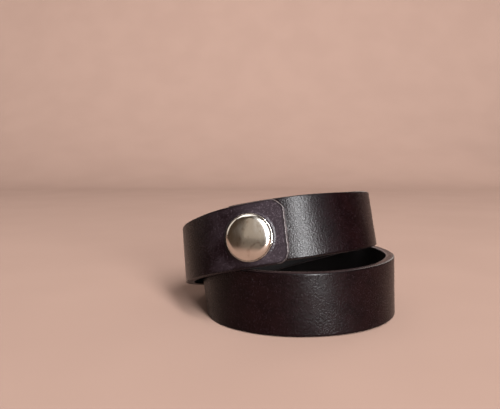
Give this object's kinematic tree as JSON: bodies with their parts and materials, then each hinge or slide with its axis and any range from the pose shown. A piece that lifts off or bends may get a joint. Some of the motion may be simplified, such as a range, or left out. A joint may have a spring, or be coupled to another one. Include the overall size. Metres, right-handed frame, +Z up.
{
  "type": "leather wrap bracelet",
  "caption": "Flat leather strap that goes twice round the wrist and closes with a domed metal press snap, shown fastened and standing on its edge.",
  "frame": {"origin": "on the table, under the middle of the bracelet's bounding box, which stands on the edge of its strap", "axes": "+Z up, along the axis of the wrist hollow; -Y is the front, where the snap closes the lapped ends; +X is to the right seen from the front"},
  "size_m": [0.077, 0.076, 0.0433],
  "materials": {
    "leather": "dark brown vegetable tanned leather with burnished edges",
    "nickel": "polished nickel plate"
  },
  "bodies": {
    "root": {"strap": "leather", "snap_cap": "nickel", "snap_socket": "nickel", "snap_stud": "nickel", "snap_post": "nickel"}
  },
  "joints": []
}
